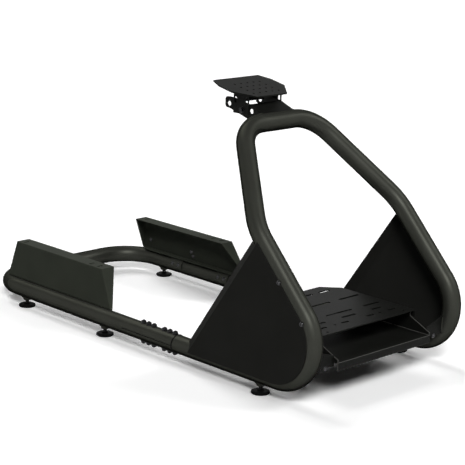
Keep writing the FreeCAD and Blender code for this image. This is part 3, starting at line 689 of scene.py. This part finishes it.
class COCKPIT_OT_pivot_bolts(bpy.types.Operator):
    """Puts the bolts that the wheel deck tilts on through its ears and the arm"""

    bl_idname = "cockpit.pivot_bolts"
    bl_label = "Pivot Bolts"

    def execute(self, context):
        half = context.scene.cockpit_sizes.pivot_bolt_width / 2
        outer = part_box("deck_ear_left")[1].x
        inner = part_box("wheel_arm")[1].x - SHEET
        washer = half * 1.2
        profile = [
            (0.0032, inner - 0.0095, 0), (0.0040, inner - 0.0088, 0), (0.0040, inner - 0.0070, 0),
            (half * 0.92, inner - 0.0070, 1), (half, inner - 0.0062, 1), (half, inner - 0.0003, 1),
            (0.0040, inner - 0.0003, 0), (0.0040, outer - 0.0002, 0), (washer, outer - 0.0002, 0),
            (washer, outer + 0.0013, 0), (washer * 0.95, outer + 0.0016, 0), (half, outer + 0.0016, 1),
            (half, outer + 0.0062, 1), (half * 0.9, outer + 0.0070, 0.7),
        ]
        origins = both_sides([(0, PIVOT_Y, PIVOT_Z)])
        made = placed(turned(profile), origins, both_sides([X_AXIS]))
        piece("pivot_bolts", made, "wheel_deck", FINISHES["black_steel"])
        return {"FINISHED"}


def foot_middles(rows):
    """The middles of the levelling feet in the given rows, across and along."""
    nodes = ["foot_" + row + side for row in rows for side in ("_left", "_right")]
    boxes = [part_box(node) for node in nodes]
    return [((low.x + high.x) / 2, (low.y + high.y) / 2) for low, high in boxes]


class COCKPIT_OT_foot_threads(bpy.types.Operator):
    """Winds the threads on the stems of the levelling feet"""

    bl_idname = "cockpit.foot_threads"
    bl_label = "Foot Threads"

    def execute(self, context):
        pitch = context.scene.cockpit_sizes.thread_pitch
        turns = (STEM_HIGH - STEM_LOW) / pitch
        turn = np.linspace(0, 2 * pi * turns, int(turns * 20))
        across, along = STEM_R * np.cos(turn), STEM_R * np.sin(turn)
        level = STEM_LOW + pitch * turn / (2 * pi)
        half = 0.42 * pitch
        black = FINISHES["black_steel"]
        for body, rows in (("front_frame", ("front",)), ("rear_frame", ("middle", "rear"))):
            paths = [np.stack([x + across, y + along, level], axis=-1) for x, y in foot_middles(rows)]
            made = gathered([skin(carried(path, half, Z_AXIS, sides=5)) for path in paths])
            piece("foot_threads_" + body, made, body, black, BEAD_SHARP)
        return {"FINISHED"}


def boss_path(x, y):
    """The closed line where a foot's boss meets the tube.

    The cone's radius at a height and the tube's height at that radius are worked out in turn, six times.
    """
    turn = np.linspace(0, 2 * pi, 72, endpoint=False)
    bottom = AXIS_Z - TUBE_R - BOSS_DROP
    level = np.full(turn.shape, AXIS_Z - TUBE_R)
    for _ in range(6):
        radius = BOSS_R + (level - bottom) * BOSS_SLOPE
        level = AXIS_Z - np.sqrt(TUBE_R ** 2 - (radius * np.cos(turn)) ** 2)
    return np.stack([x + radius * np.cos(turn), y + radius * np.sin(turn), level], axis=-1)


class COCKPIT_OT_welds(bpy.types.Operator):
    """Lays the weld beads on the bosses, the arm, the tray ears and the deck ears"""

    bl_idname = "cockpit.welds"
    bl_label = "Weld Beads"

    def execute(self, context):
        front = self.bosses(("front",)) + self.arm() + self.front_ears() + self.rear_ears()
        piece("front_welds", gathered(front), "front_frame", FINISHES["tube_coat"], BEAD_SHARP)
        rear = self.bosses(("middle", "rear"))
        piece("rear_welds", gathered(rear), "rear_frame", FINISHES["tube_coat"], BEAD_SHARP)
        deck = self.deck_ears()
        piece("deck_welds", gathered(deck), "wheel_deck", FINISHES["plate_coat"], BEAD_SHARP)
        return {"FINISHED"}

    def bosses(self, rows):
        """A closed bead round the top of each boss."""
        return [bead(boss_path(x, y), Z_AXIS, loop=True) for x, y in foot_middles(rows)]

    def arm(self):
        """A bead on each outer side of the arm, round the back of the top bar."""
        turn = np.radians(np.linspace(*ARM_BEAD_TURN, 60))
        x = np.full(turn.shape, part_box("wheel_arm")[1].x)
        path = np.stack([x, BAR_Y + TUBE_R * np.cos(turn), BAR_Z + TUBE_R * np.sin(turn)], axis=-1)
        return [bead(path, X_AXIS), bead(path * MIRROR, X_AXIS)]

    def front_ears(self):
        """A bead where each front ear meets the bend: the bend's ring of tube, cut at the ear's face."""
        low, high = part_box("tray_ear_front_left")
        short = 0.006
        level = np.linspace(low.z, high.z - short, 44)
        ring = np.hypot(low.y - BEND_Y, level - BEND_Z) - BEND_R
        x = HALF_SPACING - np.sqrt(TUBE_R ** 2 - ring ** 2)
        path = np.stack([x, np.full(level.shape, low.y), level], axis=-1)
        return [bead(path, Y_AXIS), bead(path * MIRROR, Y_AXIS)]

    def rear_ears(self):
        """A bead where each rear ear meets the lower rail."""
        turn = np.radians(np.linspace(*REAR_EAR_BEAD_TURN, 36))
        y = np.full(turn.shape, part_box("tray_ear_rear_left")[0].y)
        path = np.stack([HALF_SPACING + TUBE_R * np.cos(turn), y, AXIS_Z + TUBE_R * np.sin(turn)], axis=-1)
        return [bead(path, Y_AXIS), bead(path * MIRROR, Y_AXIS)]

    def deck_ears(self):
        """A straight bead under the deck along each ear."""
        low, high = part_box("deck_ear_left")
        short = 0.003
        way = np.linspace(low.y + short, high.y - short, 40)
        level = PIVOT_Z + DECK_ABOVE_PIVOT / cos(DECK_TILT) + (way - PIVOT_Y) * np.tan(DECK_TILT)
        path = np.stack([np.full(way.shape, high.x), way, level], axis=-1)
        return [bead(path, X_AXIS), bead(path * MIRROR, X_AXIS)]


def seen_rays(finish):
    """1 for rays of the camera, of gloss and of glass, and 0 for the rest."""
    camera = finish.node("ShaderNodeLightPath", output="Is Camera Ray")
    glossy = finish.node("ShaderNodeLightPath", output="Is Glossy Ray")
    glass = finish.node("ShaderNodeLightPath", output="Is Transmission Ray")
    return camera + glossy + glass


class COCKPIT_OT_stage(bpy.types.Operator):
    """Sets up the floor, backdrop, world, lamps and camera"""

    bl_idname = "cockpit.stage"
    bl_label = "Studio"

    def execute(self, context):
        stage = context.scene.cockpit_stage
        context.scene.view_settings.view_transform = "Standard"
        self.floor(context.scene, stage)
        self.backdrop(context.scene, stage)
        self.world(context.scene, stage)
        for name, share, spread, towards in LAMPS:
            self.lamp(context.scene, name, getattr(stage, share), spread, towards)
        self.camera(context.scene, stage)
        return {"FINISHED"}

    def floor(self, scene, stage):
        """A level sheet that is pale to the room and white to the camera, and keeps the shadow."""
        half = stage.floor_half
        mesh = bpy.data.meshes.new("floor")
        corners = [(-half, -half, 0), (half, -half, 0), (half, half, 0), (-half, half, 0)]
        mesh.from_pydata(corners, [], [(0, 1, 2, 3)])
        finish = Finish(bpy.data.materials.new("floor_paper"))
        pale = finish.node("ShaderNodeBsdfDiffuse", {}, {"Color": FLOOR_PALE})
        paper = finish.node("ShaderNodeBsdfDiffuse", {}, {"Color": FLOOR_PAPER})
        white = finish.node("ShaderNodeAddShader", {}, {0: paper, 1: paper})
        mixed = finish.node("ShaderNodeMixShader", {}, {0: seen_rays(finish), 1: pale, 2: white})
        finish.node("ShaderNodeOutputMaterial", {}, {"Surface": mixed})
        mesh.materials.append(finish.owner)
        floor = bpy.data.objects.new("floor", mesh)
        scene.collection.objects.link(floor)

    def backdrop(self, scene, stage):
        """A white wall round the floor, open to the room light: radius (cos t, sin t) at two heights."""
        sides = 64
        turn = np.linspace(0, 2 * pi, sides, endpoint=False)
        ring = BACKDROP_REACH * stage.floor_half * np.stack([np.cos(turn), np.sin(turn)], axis=-1)
        heights = (-BACKDROP_SUNK, BACKDROP_RISE * stage.floor_half)
        grid = np.stack([np.column_stack([ring, np.full(sides, height)]) for height in heights])
        here = np.arange(sides)
        after = (here + 1) % sides
        faces = np.stack([here, here + sides, after + sides, after], axis=-1)
        mesh = bpy.data.meshes.new("backdrop")
        mesh.from_pydata(grid.reshape(-1, 3).tolist(), [], faces.tolist())
        finish = Finish(bpy.data.materials.new("backdrop_paper"))
        clear = finish.node("ShaderNodeBsdfTransparent")
        white = finish.node("ShaderNodeEmission", {}, {"Color": WHITE, "Strength": 1.0})
        mixed = finish.node("ShaderNodeMixShader", {}, {0: seen_rays(finish), 1: clear, 2: white})
        finish.node("ShaderNodeOutputMaterial", {}, {"Surface": mixed})
        mesh.materials.append(finish.owner)
        backdrop = bpy.data.objects.new("backdrop", mesh)
        scene.collection.objects.link(backdrop)

    def world(self, scene, stage):
        """An even, low room light."""
        finish = Finish(bpy.data.worlds.new("studio"))
        room = finish.node("ShaderNodeBackground", {}, {"Color": WHITE, "Strength": stage.room})
        finish.node("ShaderNodeOutputWorld", {}, {"Surface": room})
        scene.world = finish.owner

    def lamp(self, scene, name, share, spread, towards):
        """A broad lamp far off in the given direction.

        With a share of 1, a surface that faces it renders as its colour is written.
        """
        data = bpy.data.lights.new(name, "SUN")
        data.energy = share * pi
        data.angle = radians(spread)
        lamp = bpy.data.objects.new(name, data)
        back = np.array(towards) / np.linalg.norm(towards)
        side = np.cross(Y_AXIS, back)
        side = side / np.linalg.norm(side)
        lamp.matrix_world = Matrix(np.stack([side, np.cross(back, side), back], axis=1)).to_4x4()
        scene.collection.objects.link(lamp)

    def camera(self, scene, stage):
        """A camera turned by its heading, then dipped, then rolled."""
        heading, dip, roll = stage.heading, stage.dip, stage.roll
        sight = np.array([cos(dip) * sin(heading), cos(dip) * cos(heading), -sin(dip)])
        level = np.array([cos(heading), -sin(heading), 0])
        upright = np.cross(level, sight)
        right = cos(roll) * level + sin(roll) * upright
        up = cos(roll) * upright - sin(roll) * level
        data = bpy.data.cameras.new("camera")
        data.sensor_width = SENSOR_WIDTH
        data.lens = stage.lens
        data.clip_end = CLIP_END
        camera = bpy.data.objects.new("camera", data)
        turned_to = Matrix(np.stack([right, up, -sight], axis=1)).to_4x4()
        camera.matrix_world = Matrix.Translation(stage.camera_place) @ turned_to
        scene.collection.objects.link(camera)
        scene.camera = camera


class COCKPIT_PT_panel(bpy.types.Panel):
    """The cockpit's tools and sizes"""

    bl_idname = "COCKPIT_PT_panel"
    bl_label = "Sim Racing Cockpit"
    bl_space_type = "VIEW_3D"
    bl_region_type = "UI"
    bl_category = "Cockpit"

    def draw(self, context):
        column = self.layout.column(align=True)
        for operator in OPERATORS:
            column.operator(operator.bl_idname)
        scene = context.scene
        for group in (scene.cockpit_sizes, scene.cockpit_colours, scene.cockpit_stage):
            column = self.layout.column(align=True)
            for name in group.__annotations__:
                column.prop(group, name)


OPERATORS = (
    COCKPIT_OT_coats,
    COCKPIT_OT_sheet_edges,
    COCKPIT_OT_clamp_bolts,
    COCKPIT_OT_joint_shade_rings,
    COCKPIT_OT_screws,
    COCKPIT_OT_pivot_bolts,
    COCKPIT_OT_foot_threads,
    COCKPIT_OT_welds,
    COCKPIT_OT_stage,
)
CLASSES = (CockpitSizes, CockpitColours, CockpitStage, *OPERATORS, COCKPIT_PT_panel)


def register():
    for made in CLASSES:
        bpy.utils.register_class(made)
    bpy.types.Scene.cockpit_sizes = PointerProperty(type=CockpitSizes)
    bpy.types.Scene.cockpit_colours = PointerProperty(type=CockpitColours)
    bpy.types.Scene.cockpit_stage = PointerProperty(type=CockpitStage)


def unregister():
    del bpy.types.Scene.cockpit_stage
    del bpy.types.Scene.cockpit_colours
    del bpy.types.Scene.cockpit_sizes
    for made in reversed(CLASSES):
        bpy.utils.unregister_class(made)


def main():
    """Registers the add-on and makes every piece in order."""
    register()
    for operator in OPERATORS:
        getattr(bpy.ops.cockpit, operator.bl_idname.split(".")[1])()


if __name__ == "__main__":
    main()
